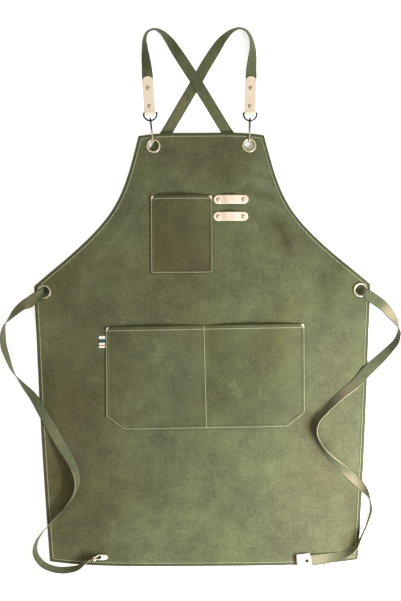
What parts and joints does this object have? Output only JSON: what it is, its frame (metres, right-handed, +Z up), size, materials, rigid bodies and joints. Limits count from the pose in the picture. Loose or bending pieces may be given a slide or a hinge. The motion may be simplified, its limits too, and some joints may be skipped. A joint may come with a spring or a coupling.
{
  "type": "chef apron",
  "caption": "Cross-back chef apron in waxed canvas, laid flat, with bib and skirt pockets, leather pen loops, webbing straps on D-rings and ties through side eyelets.",
  "frame": {"origin": "middle of the whole part's box, on the surface that the apron lies on", "axes": "+X across the apron to the right of the view, +Y up the bib towards the shoulder straps, +Z up out of the front of the canvas"},
  "size_m": [0.7384, 1.0056, 0.0283],
  "materials": {
    "canvas": "olive waxed cotton canvas, dull with a dry handle",
    "webbing": "olive woven cotton webbing",
    "leather": "natural undyed vegetable-tanned leather",
    "brass": "pale antique brass, satin",
    "gunmetal": "gunmetal-plated steel wire, satin",
    "label": "woven tape with coloured bands"
  },
  "bodies": {
    "root": {"apron_body": "canvas", "chest_pocket": "canvas", "lower_pocket": "canvas", "pen_tab_upper": "leather", "pen_tab_lower": "leather", "pen_rivet_upper_left": "brass", "pen_rivet_upper_right": "brass", "pen_rivet_lower_left": "brass", "pen_rivet_lower_right": "brass", "strap_left": "webbing", "strap_right": "webbing", "strap_tab_left": "leather", "strap_tab_right": "leather", "tab_rivet_left_1": "brass", "tab_rivet_left_2": "brass", "tab_rivet_right_1": "brass", "tab_rivet_right_2": "brass", "d_ring_left": "gunmetal", "d_ring_right": "gunmetal", "link_left": "brass", "link_right": "brass", "eyelet_top_left": "brass", "eyelet_top_right": "brass", "eyelet_side_left": "brass", "eyelet_side_right": "brass", "tie_tip_left": "leather", "tie_tip_right": "leather", "tip_rivet_left": "brass", "tip_rivet_right": "brass", "side_label": "label"}
  },
  "joints": []
}
